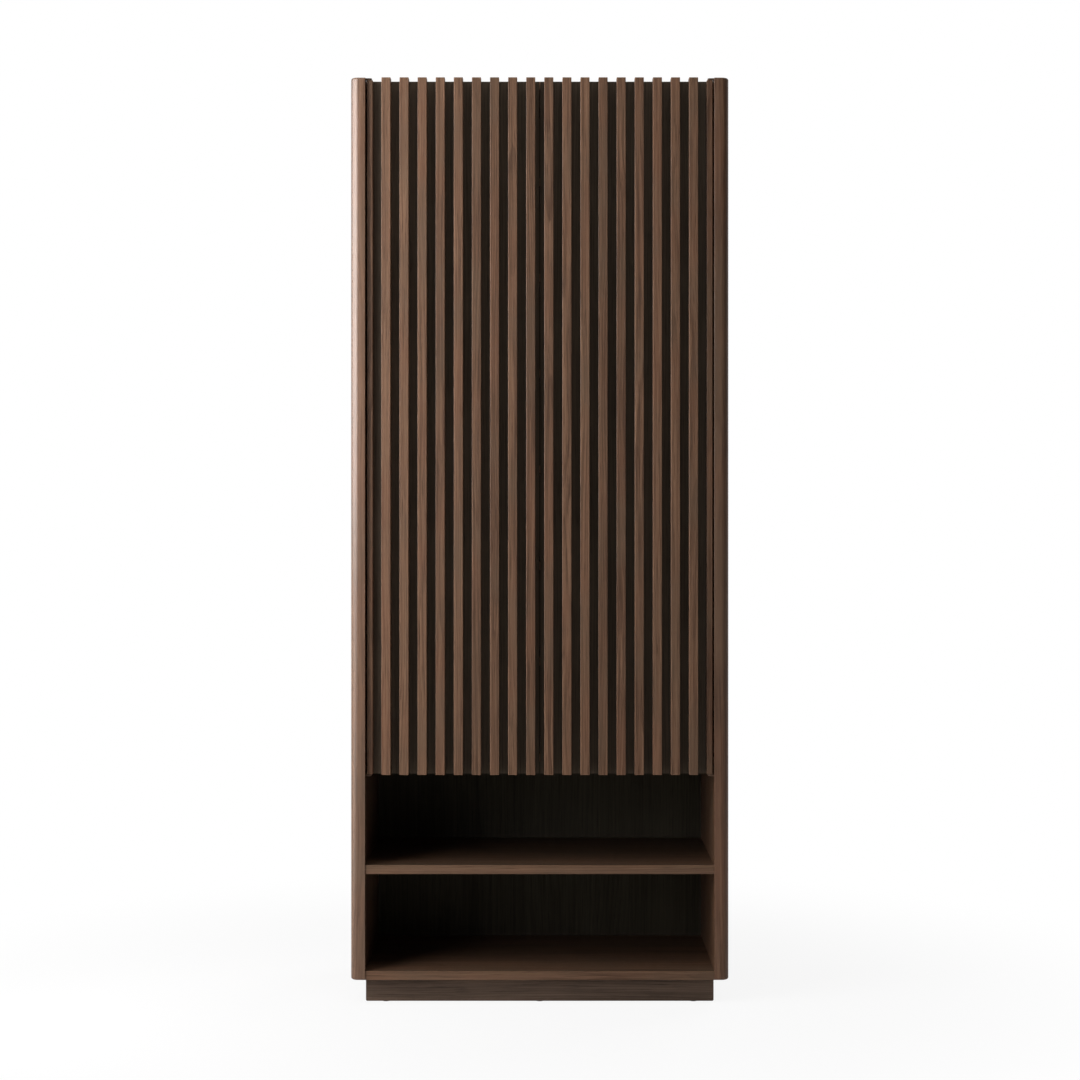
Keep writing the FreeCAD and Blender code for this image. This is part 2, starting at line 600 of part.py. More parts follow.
def make_bracket(label, blade_level, leaf_level, far_level):
    """Angle bracket: a leaf let into the side and a blade with the pin hole."""
    reach = "(Sizes.pivot_from_side + Sizes.leaf_thickness)"
    width = "(2 * Sizes.blade_radius)"
    body = new_body(label, f"-{INNER} - Sizes.leaf_thickness", LEAF_FRONT, blade_level)
    pad(body, "blade", [
        ("0", "0"),
        (reach, "0", "Sizes.blade_radius"),
        (f"{reach} + Sizes.blade_radius", "Sizes.blade_radius", "Sizes.blade_radius"),
        (reach, width),
        ("0", width),
    ], "Sizes.blade_thickness")
    pad(body, "leaf", rectangle("Sizes.leaf_thickness", "Sizes.leaf_depth"), "Sizes.leaf_height",
        offset=f"{leaf_level} - {blade_level}")
    drill(body, "pin_hole", "XY_Plane", [(reach, "Sizes.blade_radius")],
          "Sizes.pin_diameter + 2 * Sizes.seat_play", "Sizes.blade_thickness", True)
    sinks = []
    for step in SCREW_STEPS:
        sinks.append(make_screw_shape(f"{label}_sink", f"{far_level}{step}", "Sizes.screw_play"))
    sink_group = doc.addObject("Part::Compound", f"{label}_sinks")
    sink_group.Links = sinks
    bracket = doc.addObject("Part::Cut", label)
    body.Label = f"{label}_blank"
    bracket.Label = label
    bracket.Base = body
    bracket.Tool = sink_group
    return keep(bracket)


def make_screw_shape(name, level, play):
    """Countersunk screw in the left side, grown by a radial play."""
    head = doc.addObject("Part::Cone", f"{name}_head")
    head.setExpression("Radius1", f"Sizes.screw_head / 2 + {play}")
    head.setExpression("Radius2", f"Sizes.screw_diameter / 2 + {play}")
    head.setExpression("Height", "(Sizes.screw_head - Sizes.screw_diameter) / 2")
    head.Placement = FreeCAD.Placement(FreeCAD.Vector(), ALONG_X.inverted())
    place(head, f"-{INNER}", SCREW_ROW, level)
    shank = rod(f"{name}_shank", f"Sizes.screw_diameter + 2 * {play}", "Sizes.screw_length",
                f"-{INNER}", SCREW_ROW, level, ALONG_X.inverted())
    screw = doc.addObject("Part::Fuse", name)
    screw.Base = head
    screw.Tool = shank
    return screw


def make_brackets():
    """Brackets, pins and screws at the top and foot of both doors."""
    upper = make_bracket("left_upper_pivot_bracket", UPPER_BLADE,
                         "(Sizes.overall_height - Sizes.leaf_height)", "Sizes.overall_height - ")
    lower = make_bracket("left_lower_pivot_bracket", LOWER_BLADE, LOWER_BLADE, f"{LOWER_BLADE} + ")
    opposite("right_upper_pivot_bracket", upper)
    opposite("right_lower_pivot_bracket", lower)
    pins = []
    screws = []
    length = "Sizes.blade_thickness + Sizes.pin_reach"
    for across in (f"-{PIVOT_X}", PIVOT_X):
        pins.append(rod("upper_pin", "Sizes.pin_diameter", length, across, PIVOT_Y,
                        f"{UPPER_BLADE} - Sizes.pin_reach"))
        pins.append(rod("lower_pin", "Sizes.pin_diameter", length, across, PIVOT_Y, LOWER_BLADE))
    group("pivot_pins", pins)
    for far_level in ("Sizes.overall_height - ", f"{LOWER_BLADE} + "):
        for step in SCREW_STEPS:
            screw = make_screw_shape("screw", f"{far_level}{step}", "0")
            twin = doc.addObject("Part::Mirroring", "screw_twin")
            twin.Source = screw
            twin.Normal = (1, 0, 0)
            screws += [screw, twin]
    group("bracket_screws", screws)


def make_bushes():
    """Plain bushes in the ends of the end slats."""
    bushes = []
    for level in (DOOR_FOOT, f"{END_SLAT_TOP} - Sizes.bush_length"):
        body = new_body("bush", f"-{PIVOT_X}", PIVOT_Y, level)
        sketch = new_sketch(body, "ring", "XY_Plane")
        draw_circles(sketch, [("0", "0")], "Sizes.bush_diameter")
        draw_circles(sketch, [("0", "0")], "Sizes.pin_diameter + 2 * Sizes.pin_play")
        tube = body.newObject("PartDesign::Pad", "tube")
        tube.Profile = sketch
        tube.setExpression("Length", "Sizes.bush_length")
        bushes.append(body)
    left = group("left_pivot_bushes", bushes)
    opposite("right_pivot_bushes", left)


# Catches and bumpers

def make_catches():
    """Magnetic catches under the top board and strike plates on the door backs."""
    start = "(-Sizes.catch_from_middle - Sizes.catch_width / 2)"
    body = new_body("left_magnetic_catch", start, CATCH_FRONT, f"{TOP_UNDER} - Sizes.catch_height")
    case = pad(body, "case", rectangle("Sizes.catch_width", "Sizes.catch_depth"), "Sizes.catch_height")
    round_edges(body, "case_rounds", case,
                lambda box: box.ZMax < TOLERANCE or (box.ZLength > TOLERANCE and box.YMin > TOLERANCE),
                "Sizes.arris")
    keep(body)
    opposite("right_magnetic_catch", body)
    strike = block("left_strike_plate", ("Sizes.strike_width", "Sizes.strike_thickness", "Sizes.strike_height"),
                   "-Sizes.catch_from_middle - Sizes.strike_width / 2", DOOR_BACK,
                   f"{TOP_UNDER} - (Sizes.catch_height + Sizes.strike_height) / 2")
    keep(strike)
    opposite("right_strike_plate", strike)


def make_bumpers():
    """Soft dots on the front edges of the top board and the divider."""
    bumpers = []
    for level in (DIVIDER_UNDER, TOP_UNDER):
        for across in ("-Sizes.bumper_from_middle", "Sizes.bumper_from_middle"):
            bumpers.append(rod("bumper", "Sizes.bumper_diameter", "Sizes.bumper_thickness", across,
                               f"{BOARD_FRONT} - Sizes.bumper_thickness", f"{level} + {MID_BOARD}", ALONG_Y))
    group("door_bumpers", bumpers)


def check_document():
    """Stop if any object failed or any piece has a bad shape."""
    doc.recompute()
    for item in doc.Objects:
        if "Invalid" in item.State or "Error" in item.State:
            raise RuntimeError(f"{item.Label} failed: {item.State}")
    for piece in nodes:
        if piece.Shape.isNull() or not piece.Shape.isValid() or not piece.Shape.Solids:
            raise RuntimeError(f"{piece.Label} has no valid solid")


def write_parts():
    """One STEP file for each piece."""
    os.makedirs("parts", exist_ok=True)
    for piece in nodes:
        piece.Shape.exportStep(f"parts/{piece.Label}.step")


make_side_panels()
make_boards()
make_back_panels()
make_plinth()
make_dowels()
make_shelves()
make_door_panels()
make_slats()
make_end_slats()
make_brackets()
make_bushes()
make_catches()
make_bumpers()
check_document()
write_parts()
print(f"{len(nodes)} pieces written")
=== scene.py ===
import math

import bmesh
import bpy
from mathutils import Matrix, Vector


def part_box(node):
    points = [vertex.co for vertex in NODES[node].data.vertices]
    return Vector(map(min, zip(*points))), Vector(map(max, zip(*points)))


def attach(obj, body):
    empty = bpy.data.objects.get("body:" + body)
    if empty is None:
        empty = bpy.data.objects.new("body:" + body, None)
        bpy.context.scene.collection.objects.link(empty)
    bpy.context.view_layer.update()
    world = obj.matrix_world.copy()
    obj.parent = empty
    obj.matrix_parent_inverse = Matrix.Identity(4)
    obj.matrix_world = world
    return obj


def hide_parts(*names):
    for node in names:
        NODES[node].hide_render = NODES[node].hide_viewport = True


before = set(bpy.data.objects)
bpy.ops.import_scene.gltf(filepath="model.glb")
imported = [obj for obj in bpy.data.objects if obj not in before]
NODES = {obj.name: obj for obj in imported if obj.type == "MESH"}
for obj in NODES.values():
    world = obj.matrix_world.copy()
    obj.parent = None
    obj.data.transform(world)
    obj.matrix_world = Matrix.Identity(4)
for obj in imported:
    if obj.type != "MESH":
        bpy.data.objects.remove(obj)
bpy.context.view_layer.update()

bl_info = {
    "name": "Slatted Door Cupboard",
    "version": (1, 0, 0),
    "blender": (4, 5, 0),
    "location": "View3D > Sidebar > Cupboard",
    "description": "Finishes a tall hall cupboard with slatted doors and sets up its studio",
    "category": "Object",
}


def middle(node):
    """Centre of a node's box."""
    low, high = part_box(node)
    return (low + high) / 2


SLAT_PITCH = middle("left_slat_2").x - middle("left_slat_1").x
FRONT_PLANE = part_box("left_slat_1")[0].y
SLAT_HALF = (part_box("left_slat_1")[1].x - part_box("left_slat_1")[0].x) / 2
SLAT_MIDDLE = middle("left_slat_1").z
SLAT_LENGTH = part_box("left_slat_1")[1].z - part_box("left_slat_1")[0].z
INNER_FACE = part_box("open_shelf")[1].x
SCREW_HEAD = 0.007
SCREW_SHANK = 0.0035
SCREW_LENGTH = 0.016
SCREW_HOLE = SCREW_HEAD / 2 + 0.0001    # radius of the hole round a screw head
SHARP_ANGLE = math.radians(32.0)        # steeper edges keep a crease in smooth shading
EASED_ANGLE = math.radians(40.0)        # steeper edges of a fitting are rounded
MERGE_DISTANCE = 0.000005               # corners of a node's triangles that are one corner
PLANK_WIDTH = 0.15                      # slats are sawn from all over a plank this wide,
HEART_CLEAR = 0.03                      # this far from the heart of the log at least,
HEART_SPREAD = 0.07                     # and up to this much farther from it,
LOG_LENGTH = 4.0                        # anywhere along a log this long
WHITE = (1.0, 1.0, 1.0, 1.0)

ALONG_Z = (0.0, 0.0, 0.0)
ALONG_X = (0.0, math.radians(-90.0), 0.0)
ALONG_Y = (math.radians(90.0), 0.0, 0.0)


# Settings that a user would change

def colour(name, description, default):
    return bpy.props.FloatVectorProperty(
        name=name, description=description, default=default, subtype="COLOR", size=3, min=0.0, max=1.0)


def length(name, description, default):
    return bpy.props.FloatProperty(
        name=name, description=description, default=default, min=0.0, unit="LENGTH", precision=5)


def share(name, description, default):
    return bpy.props.FloatProperty(
        name=name, description=description, default=default, min=0.0, max=1.0, subtype="FACTOR")


def power(name, description, default):
    return bpy.props.FloatProperty(
        name=name, description=description, default=default, min=0.0, unit="POWER")


def point(name, description, default):
    return bpy.props.FloatVectorProperty(
        name=name, description=description, default=default, subtype="TRANSLATION", size=3)


class CupboardColours(bpy.types.PropertyGroup):
    """Colours of the wood and the fittings"""

    walnut_light: colour("Walnut Light", "Pale streaks of the walnut", (0.226, 0.125, 0.075))
    walnut_dark: colour("Walnut Dark", "Dark streaks of the walnut", (0.082, 0.042, 0.025))
    walnut_red: colour("Walnut Red", "Warm patches of the walnut", (0.182, 0.086, 0.050))
    walnut_grey: colour("Walnut Grey", "Cool patches of the walnut", (0.130, 0.082, 0.052))
    plinth_light: colour("Plinth Light", "Pale streaks of the plinth", (0.138, 0.092, 0.066))
    plinth_dark: colour("Plinth Dark", "Dark streaks of the plinth", (0.054, 0.036, 0.026))
    panel_light: colour("Panel Light", "Pale streaks of the door panels", (0.120, 0.091, 0.065))
    panel_dark: colour("Panel Dark", "Dark streaks of the door panels", (0.051, 0.038, 0.027))
    back_light: colour("Back Light", "Pale streaks of the back panels", (0.068, 0.057, 0.038))
    back_dark: colour("Back Dark", "Dark streaks of the back panels", (0.028, 0.023, 0.016))
    beech_light: colour("Beech Light", "Pale streaks of the dowels", (0.58, 0.40, 0.24))
    beech_dark: colour("Beech Dark", "Dark streaks of the dowels", (0.40, 0.25, 0.13))
    bronze_steel: colour("Bronze Steel", "Pivot brackets", (0.085, 0.050, 0.032))
    bright_steel: colour("Bright Steel", "Pins, screws, strikes and supports", (0.56, 0.55, 0.53))
    white_nylon: colour("White Nylon", "Pivot bushes", (0.74, 0.73, 0.69))
    brown_plastic: colour("Brown Plastic", "Cases of the catches", (0.060, 0.034, 0.021))
    soft_grey: colour("Soft Grey", "Door bumpers", (0.42, 0.42, 0.41))
    glide_black: colour("Glide Black", "Floor glides", (0.025, 0.025, 0.026))


class CupboardGrain(bpy.types.PropertyGroup):
    """Scale of the wood grain"""

    ring_spacing: length("Ring Spacing", "Between growth rings", 0.0042)
    streak_width: length("Streak Width", "Width of a pale or dark streak", 0.0045)
    streak_length: length("Streak Length", "Length of a pale or dark streak", 0.42)
    pore_width: length("Pore Width", "Width of an open pore", 0.0004)
    pore_length: length("Pore Length", "Length of an open pore", 0.013)
    vein_width: length("Vein Width", "Width of a dark vein", 0.0016)
    vein_length: length("Vein Length", "Length of a dark vein", 0.075)
    relief: length("Relief", "Depth of the pores", 0.00025)
    patch_length: length("Patch Length", "Length of a warm or cool patch", 0.20)
    slat_variety: share("Slat Variety", "How far one slat differs in tone from the next", 0.18)
    slat_seed: bpy.props.FloatProperty(
        name="Slat Seed", description="Another value gives the slats other tones", default=35.85, min=0.0)


class CupboardStudio(bpy.types.PropertyGroup):
    """Light and camera"""

    front_power: power("Front Power", "Large softbox before and left of the cupboard", 30.5)
    near_power: power("Near Power", "Narrow softbox close to the left edge", 7.0)
    side_power: power("Side Power", "Low softbox close to the left side", 6.5)
    top_power: power("Top Power", "Wide softbox above the front", 25.0)
    edge_power: power("Edge Power", "Tall softbox at the left that shows only in glosses", 350.0)
    back_power: power("Back Power", "Softbox behind the cupboard", 70.0)
    ambient: bpy.props.FloatProperty(
        name="Ambient", description="Level of the light from all round", default=0.08, min=0.0)
    camera_place: point("Camera Place", "Where the camera stands", (0.0, -4.610, 0.998))
    lens: bpy.props.FloatProperty(
        name="Lens", description="Focal length in millimetres", default=74.34, min=1.0)
    shift_x: bpy.props.FloatProperty(
        name="Shift X", description="Sideways shift of the lens", default=0.0002)
    shift_y: bpy.props.FloatProperty(
        name="Shift Y", description="Upright shift of the lens", default=-0.037)


# Shader sums

class Flow:
    """Number that changes over a surface; each sum on it adds a Math node."""

    def __init__(self, finish, socket):
        self.finish = finish
        self.socket = socket

    def sum(self, operation, first, second=0.0):
        node = self.finish.add("ShaderNodeMath", {"operation": operation}, {0: first, 1: second})
        return Flow(self.finish, node.outputs[0])

    def __add__(self, other):
        return self.sum("ADD", self, other)

    def __radd__(self, other):
        return self.sum("ADD", other, self)

    def __sub__(self, other):
        return self.sum("SUBTRACT", self, other)

    def __rsub__(self, other):
        return self.sum("SUBTRACT", other, self)

    def __mul__(self, other):
        return self.sum("MULTIPLY", self, other)

    def __rmul__(self, other):
        return self.sum("MULTIPLY", other, self)

    def __truediv__(self, other):
        return self.sum("DIVIDE", self, other)

    def __rtruediv__(self, other):
        return self.sum("DIVIDE", other, self)

    def floor(self):
        return self.sum("FLOOR", self)

    def fraction(self):
        return self.sum("FRACT", self)

    def size(self):
        return self.sum("ABSOLUTE", self)

    def step(self, start, end):
        """0 below start and 1 above end, with a soft change between them."""
        node = self.finish.add("ShaderNodeMapRange", {"interpolation_type": "SMOOTHSTEP"},
                               {"Value": self, "From Min": start, "From Max": end})
        return Flow(self.finish, node.outputs["Result"])


class Finish:
    """Material whose nodes are added one at a time."""

    def __init__(self, name):
        self.material = bpy.data.materials.new(name)
        self.material.use_nodes = True
        self.tree = self.material.node_tree
        self.tree.nodes.clear()

    def add(self, kind, settings=None, inputs=None):
        """New node with its settings, and with a value or a link on each named socket."""
        node = self.tree.nodes.new(kind)
        for name, setting in (settings or {}).items():
            setattr(node, name, setting)
        for name, given in (inputs or {}).items():
            if isinstance(given, Flow):
                self.tree.links.new(given.socket, node.inputs[name])
            else:
                node.inputs[name].default_value = given
        return node

    def flow(self, node, output=0):
        return Flow(self, node.outputs[output])

    def place(self):
        """Object coordinates."""
        return self.flow(self.add("ShaderNodeTexCoord"), "Object")

    def parts(self, vector):
        """Three numbers of a vector."""
        node = self.add("ShaderNodeSeparateXYZ", None, {"Vector": vector})
        return [self.flow(node, axis) for axis in "XYZ"]

    def vector(self, x, y, z):
        return self.flow(self.add("ShaderNodeCombineXYZ", None, {"X": x, "Y": y, "Z": z}))

    def vectors(self, operation, first, second):
        node = self.add("ShaderNodeVectorMath", {"operation": operation}, {0: first, 1: second})
        return self.flow(node, "Value" if operation == "LENGTH" else "Vector")

    def noise(self, vector, stretch, detail=2.0, roughness=0.5, output="Fac"):
        """Cloudy noise whose spots have the sizes that stretch gives as counts for each metre."""
        scaled = self.vectors("MULTIPLY", vector, stretch)
        node = self.add("ShaderNodeTexNoise", None,
                        {"Vector": scaled, "Scale": 1.0, "Detail": detail, "Roughness": roughness})
        return self.flow(node, output)

    def mix(self, factor, first, second, blend="MIX"):
        """Colour between two colours."""
        node = self.add("ShaderNodeMix", {"data_type": "RGBA", "blend_type": blend},
                        {0: factor, 6: opaque(first), 7: opaque(second)})
        return self.flow(node, 2)

    def bump(self, height, distance, strength):
        node = self.add("ShaderNodeBump", None,
                        {"Height": height, "Distance": distance, "Strength": strength})
        return self.flow(node)

    def finish(self, inputs):
        """Principled surface on the material's output."""
        shader = self.add("ShaderNodeBsdfPrincipled", None, inputs)
        self.add("ShaderNodeOutputMaterial", None, {"Surface": self.flow(shader)})
        return self.material


def opaque(given):
    """Colour with its alpha, or a link as it is."""
    return given if isinstance(given, Flow) else (*given, 1.0)


# Wood

def log_spot(finish, turn, shift):
    """Place inside the log that a board was sawn from, with the grain along Z."""
    node = finish.add("ShaderNodeMapping", {"vector_type": "POINT"},
                      {"Vector": finish.place(), "Rotation": turn, "Location": shift})
    return finish.flow(node)


def slat_spot(finish, seed):
    """Place inside the log for a slat, a number that is its own, and the place on the slat itself.

    Each slat is sawn from another spot of the log.
    """
    x, y, z = finish.parts(finish.place())
    number = (x / SLAT_PITCH).floor()
    inside = x - (number + 0.5) * SLAT_PITCH
    draw = finish.add("ShaderNodeTexWhiteNoise", {"noise_dimensions": "1D"}, {"W": number + seed})
    across, away, along = finish.parts(finish.flow(draw, "Color"))
    spot = finish.vector(inside + (across - 0.5) * PLANK_WIDTH,
                         y - FRONT_PLANE + HEART_CLEAR + away * HEART_SPREAD,
                         z + along * LOG_LENGTH)
    return spot, finish.flow(draw, "Value"), (inside, y, z)


def grain(finish, spot, settings):
    """Rings, streaks, fibres, pores, veins and patches at a spot of the log."""
    wander = finish.noise(spot, (3.0, 3.0, 1.3), 2.0, 0.5, "Color")
    wander = finish.vectors("SUBTRACT", wander, (0.5, 0.5, 0.5))
    wander = finish.vectors("MULTIPLY", wander, (0.03, 0.03, 0.0))
    bent = finish.vectors("ADD", spot, wander)
    radius = finish.vectors("LENGTH", finish.vectors("MULTIPLY", bent, (1.0, 1.0, 0.0)), (0.0, 0.0, 0.0))
    unrest = finish.noise(bent, (60.0, 60.0, 3.0), 2.0)
    ring = (radius / settings.ring_spacing + unrest * 1.6).fraction()
    late = ring.step(0.35, 0.92) * (1 - ring.step(0.93, 1.0))
    wide = 1.0 / settings.streak_width
    streak = finish.noise(bent, (wide, wide, 1.0 / settings.streak_length), 4.0, 0.62)
    fibre = finish.noise(bent, (wide * 7.0, wide * 7.0, 14.0), 2.0)
    narrow = 1.0 / settings.pore_width
    pore = finish.noise(bent, (narrow, narrow, 1.0 / settings.pore_length), 1.0).step(0.60, 0.74)
    thin = 1.0 / settings.vein_width
    vein = finish.noise(bent, (thin, thin, 1.0 / settings.vein_length), 1.0).step(0.58, 0.76)
    tint = finish.noise(spot, (11.0, 11.0, 1.0 / settings.patch_length), 2.0, 0.5, "Color")
    warm, cool, _ = finish.parts(tint)
    return late, streak, fibre, pore, vein, warm, cool


def inner_face(finish):
    """1 on the face of a side panel that looks into the cupboard, which painted shade darkens."""
    spot = finish.add("ShaderNodeTexCoord")
    facing = finish.vectors("MULTIPLY", finish.flow(spot, "Object"), finish.flow(spot, "Normal"))
    return (0 - finish.parts(facing)[0]).step(0.1, 0.2)


def flat_face(finish):
    """1 on the upper and lower face of a board, 0 on its edges; painted shade darkens the marked faces."""
    spot = finish.add("ShaderNodeTexCoord")
    return finish.parts(finish.flow(spot, "Normal"))[2].size().step(0.6, 0.8)


def front_edge(finish):
    """1 where a side panel looks forward, its rounding included, and 0 on its broad faces."""
    spot = finish.add("ShaderNodeTexCoord")
    return (0 - finish.parts(finish.flow(spot, "Normal"))[1]).step(0.05, 0.35)


def worn_and_highlit_edges(inside, depth, level):
    """1 along the front edges of a slat and round its ends, which are drawn paler: partly wear and partly
    a painted highlight on the rounded arrises.
    """
    sides = inside.size().step(SLAT_HALF - 0.0016, SLAT_HALF - 0.0004)
    ends = (level - SLAT_MIDDLE).size().step(SLAT_LENGTH / 2 - 0.0026, SLAT_LENGTH / 2 - 0.0006)
    front = 1 - (depth - FRONT_PLANE).step(0.0006, 0.0020)
    return sides.sum("MAXIMUM", sides, ends) * front


def walnut_tones(tints):
    """Tones of the sides and slats."""
    return tints.walnut_light, tints.walnut_dark, tints.walnut_red, tints.walnut_grey


def board_tones(tints):
    """Tones of the boards and shelves, which have no warm patches."""
    return tints.walnut_light, tints.walnut_dark, tints.walnut_grey, tints.walnut_grey


def wood(name, tones, turn=ALONG_Z, shift=(0.09, 0.12, 0.0), slatted=False, tone=0.0, contrast=1.0,
         patches=1.0, gloss=0.34, specular=0.10, painted_shade_face=None, dim=0.0, polish=0.0):
    """Sawn or veneered wood with its grain along Z, or along another axis when turned.

    The tones are its pale and dark streaks and its warm and cool patches; a tone above 0 makes it paler.
    The faces that painted_shade_face marks are stained darker by the share dim.
    Faces that the given face mask marks are darkened towards black by the share dim: painted shade.
    """
    settings = bpy.context.scene.cupboard_grain
    finish = Finish(name)
    pale, dark, red, grey = tones
    if slatted:
        spot, draw, on_slat = slat_spot(finish, settings.slat_seed)
        tone = tone + (draw - 0.5) * (2 * settings.slat_variety)
    else:
        spot = log_spot(finish, turn, shift)
    late, streak, fibre, pore, vein, warm, cool = grain(finish, spot, settings)
    shade = 0.5 + (streak - 0.5) * (1.5 * contrast) + (fibre - 0.5) * (0.5 * contrast)
    shade = shade - late * (0.22 * contrast) - pore * (0.30 * contrast) + tone
    shade = shade + 0.06 * contrast - vein * (0.55 * contrast)
    if slatted:
        # Paler edges: wear, and a painted highlight on the arrises.
        shade = shade + worn_and_highlit_edges(*on_slat) * (0.20 + 0.25 * fibre)
    else:
        band = finish.noise(spot, (24.0, 24.0, 0.9), 2.0)
        shade = shade + (band - 0.5) * contrast
    base = finish.mix(shade, dark, pale)
    base = finish.mix(warm.step(0.44, 0.68) * (0.40 * patches), base, red)
    base = finish.mix(cool.step(0.46, 0.70) * (0.52 * patches), base, grey)
    # Painted shade: the marked faces are darkened towards black.
    if painted_shade_face:
        base = finish.mix(painted_shade_face(finish) * dim, base, (0.0, 0.0, 0.0))
    dull = gloss + pore * 0.25 + (0.5 - streak) * 0.20
    height = fibre * 0.35 - pore - late * 0.15
    inputs = {
        "Base Color": base,
        "Roughness": dull,
        "Specular IOR Level": specular,
        "Normal": finish.bump(height, settings.relief, 0.5),
    }
    if polish:
        inputs["Coat Weight"] = front_edge(finish) * polish
        inputs["Coat Roughness"] = gloss
    return finish.finish(inputs)


# Fittings

def metal(name, base, dull, brushed):
    """Steel with faint brush marks along Z and a mottled coat."""
    finish = Finish(name)
    place = finish.place()
    marks = finish.noise(place, (2600.0, 2600.0, brushed), 3.0, 0.6)
    cloud = finish.noise(place, (140.0, 140.0, 140.0), 3.0)
    shaded = [channel * 0.72 for channel in base]
    mottled = finish.mix((cloud - 0.35) * 0.6 + (marks - 0.5) * 0.5, base, shaded)
    return finish.finish({
        "Base Color": mottled,
        "Metallic": 1.0,
        "Roughness": dull + (marks - 0.5) * 0.18 + (cloud - 0.5) * 0.12,
        "Normal": finish.bump(marks, 0.00004, 0.4),
    })


def coated(name, base, dull, grain_size, specular=0.3):
    """Moulded plastic, rubber or paint with a fine even texture."""
    finish = Finish(name)
    place = finish.place()
    count = 1.0 / grain_size
    speckle = finish.noise(place, (count, count, count), 2.0, 0.6)
    cloud = finish.noise(place, (90.0, 90.0, 90.0), 2.0)
    shaded = [channel * 0.70 for channel in base]
    mottled = finish.mix((speckle - 0.4) * 0.5 + (cloud - 0.4) * 0.4, base, shaded)
    return finish.finish({
        "Base Color": mottled,
        "Roughness": dull + (speckle - 0.5) * 0.20,
        "Specular IOR Level": specular,
        "Normal": finish.bump(speckle, grain_size * 0.15, 0.5),
    })


# Shapes of the small fittings

def ring(radius, count=28):
    """Points round a circle."""
    turns = [2 * math.pi * step / count for step in range(count)]
    return [(radius * math.cos(turn), radius * math.sin(turn), 0.0) for turn in turns]


def cross(arm, half):
    """Points round a plus sign."""
    quarter = [(arm, half), (half, half), (half, arm)]
    points = []
    for _ in range(4):
        points += [(x, y, 0.0) for x, y in quarter]
        quarter = [(-y, x) for x, y in quarter]
    return points


def rounded_outline(width, depth, radius, count=6):
    """Points round a rectangle with round corners."""
    points = []
    for corner, (right, up) in enumerate(((1, 1), (-1, 1), (-1, -1), (1, -1))):
        for step in range(count + 1):
            turn = (corner + step / count) * math.pi / 2
            points.append((right * (width / 2 - radius) + radius * math.cos(turn),
                           up * (depth / 2 - radius) + radius * math.sin(turn), 0.0))
    return points


def moved(points, across):
    """Points moved along X."""
    return [(x + across, y, z) for x, y, z in points]


def seat(place, facing):
    """Placement whose own Z looks along a direction."""
    turn = Vector(facing).to_track_quat("Z", "Y").to_matrix().to_4x4()
    return Matrix.Translation(place) @ turn


def corners_of(made):
    """Corners that an operator made."""
    return [item for item in made["geom"] if isinstance(item, bmesh.types.BMVert)]


def flat_faces(shape, loops):
    """Faces between an outer loop of points and the loops inside it, with the edges of each loop."""
    rims = []
    for points in loops:
        corners = [shape.verts.new(point) for point in points]
        rims.append([shape.edges.new((corners[index - 1], corner))
                     for index, corner in enumerate(corners)])
    made = bmesh.ops.triangle_fill(shape, use_beauty=True, edges=[edge for rim in rims for edge in rim])
    return [item for item in made["geom"] if isinstance(item, bmesh.types.BMFace)], rims


def move_new(shape, before, where):
    """Put the corners that a shape has gained in their place."""
    gained = [corner for corner in shape.verts if corner not in before]
    bmesh.ops.transform(shape, matrix=where, verts=gained)


def draw_down(shape, rim, scale, drop):
    """Wall down from a rim, its far end scaled about the axis; gives the far rim."""
    made = bmesh.ops.extrude_edge_only(shape, edges=rim)
    corners = corners_of(made)
    bmesh.ops.scale(shape, vec=(scale, scale, 1.0), verts=corners)
    bmesh.ops.translate(shape, vec=(0.0, 0.0, -drop), verts=corners)
    edges = [item for item in made["geom"] if isinstance(item, bmesh.types.BMEdge)]
    return [edge for edge in edges if edge.verts[0] in corners and edge.verts[1] in corners]


def add_screw(shape, where):
    """Countersunk screw with a cross recess, its head level with its place."""
    before = set(shape.verts)
    plus = cross(SCREW_HEAD * 0.30, SCREW_HEAD * 0.08)
    _, (outer, recess) = flat_faces(shape, [ring(SCREW_HEAD / 2), plus])
    foot = draw_down(shape, recess, 0.55, SCREW_HEAD * 0.18)
    bmesh.ops.triangle_fill(shape, use_beauty=True, edges=foot)
    cone = (SCREW_HEAD - SCREW_SHANK) / 2
    neck = draw_down(shape, outer, SCREW_SHANK / SCREW_HEAD, cone)
    shank = draw_down(shape, neck, 1.0, SCREW_LENGTH - 2 * cone)
    tip = draw_down(shape, shank, 0.2, cone)
    bmesh.ops.triangle_fill(shape, use_beauty=True, edges=tip)
    move_new(shape, before, where)


def add_plate(shape, outline, holes, thickness, where):
    """Flat plate with holes, its upper face at its place."""
    before = set(shape.verts)
    faces, _ = flat_faces(shape, [outline, *holes])
    made = bmesh.ops.extrude_face_region(shape, geom=faces, use_keep_orig=True)
    bmesh.ops.translate(shape, vec=(0.0, 0.0, -thickness), verts=corners_of(made))
    move_new(shape, before, where)


def add_block(shape, low, high, width):
    """Block with rounded edges."""
    size = high - low
    where = Matrix.Translation((low + high) / 2) @ Matrix.Diagonal((*size, 1.0))
    made = bmesh.ops.create_cube(shape, size=1.0, matrix=where)
    edges = list({edge for corner in made["verts"] for edge in corner.link_edges})
    bmesh.ops.bevel(shape, geom=edges, offset=width, offset_type="OFFSET", affect="EDGES",
                    segments=3, profile=0.5, material=-1)


def recess_front(shape, border, depth):
    """Sink the foremost flat face, apart from a border round it."""
    front = min(shape.faces, key=lambda face: face.calc_center_median().y)
    bmesh.ops.inset_individual(shape, faces=[front], thickness=border, depth=0.0)
    bmesh.ops.inset_individual(shape, faces=[front], thickness=border * 0.1, depth=-depth)


# Pieces

def shade_smoothly(shape, mesh):
    """Write a shape to a mesh whose roundings shade smoothly and whose edges stay sharp."""
    for face in shape.faces:
        face.smooth = True
    shape.to_mesh(mesh)
    shape.free()
    mesh.set_sharp_from_angle(angle=SHARP_ANGLE)


